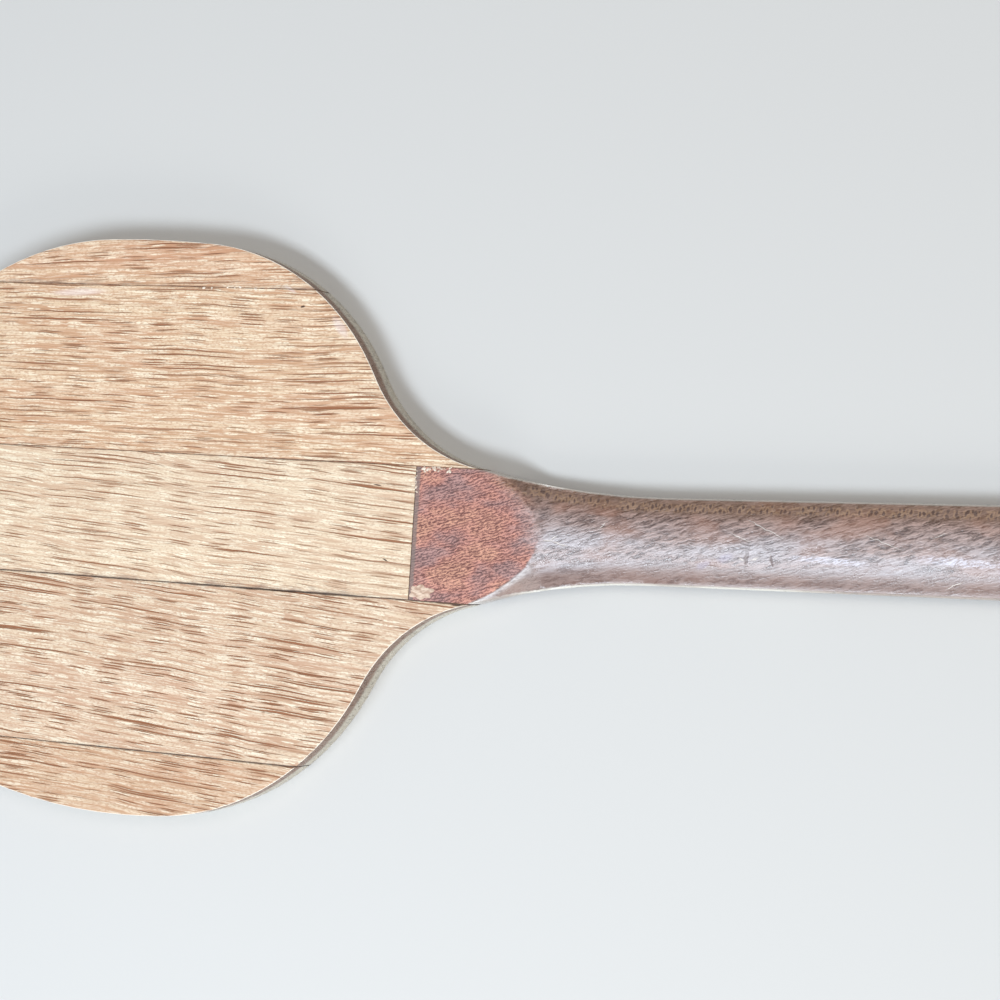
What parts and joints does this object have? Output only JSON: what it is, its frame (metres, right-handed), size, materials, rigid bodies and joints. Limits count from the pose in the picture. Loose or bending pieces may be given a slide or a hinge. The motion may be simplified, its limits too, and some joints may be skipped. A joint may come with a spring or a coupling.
{
  "type": "wooden paddle bat",
  "caption": "Solid wooden paddle bat: a round head of edge-glued oak strips with a let-in mahogany handle and a rounded grip.",
  "frame": {"origin": "middle of the round head, on its back face", "axes": "+X along the handle's axis from the head to the butt, +Z out of the front face, +Y towards the head's upper side"},
  "size_m": [0.4425, 0.199, 0.011],
  "materials": {
    "oak": "red oak, planed and left bare, open pores, dry satin",
    "mahogany": "matte on the flat tongue, polished by handling on the grip",
    "beech": "bare turned dowel"
  },
  "bodies": {
    "root": {"strip_outer_upper": "oak", "strip_inner_upper": "oak", "strip_centre": "oak", "strip_inner_lower": "oak", "strip_outer_lower": "oak", "handle": "mahogany", "dowel_upper": "beech", "dowel_lower": "beech"}
  },
  "joints": []
}
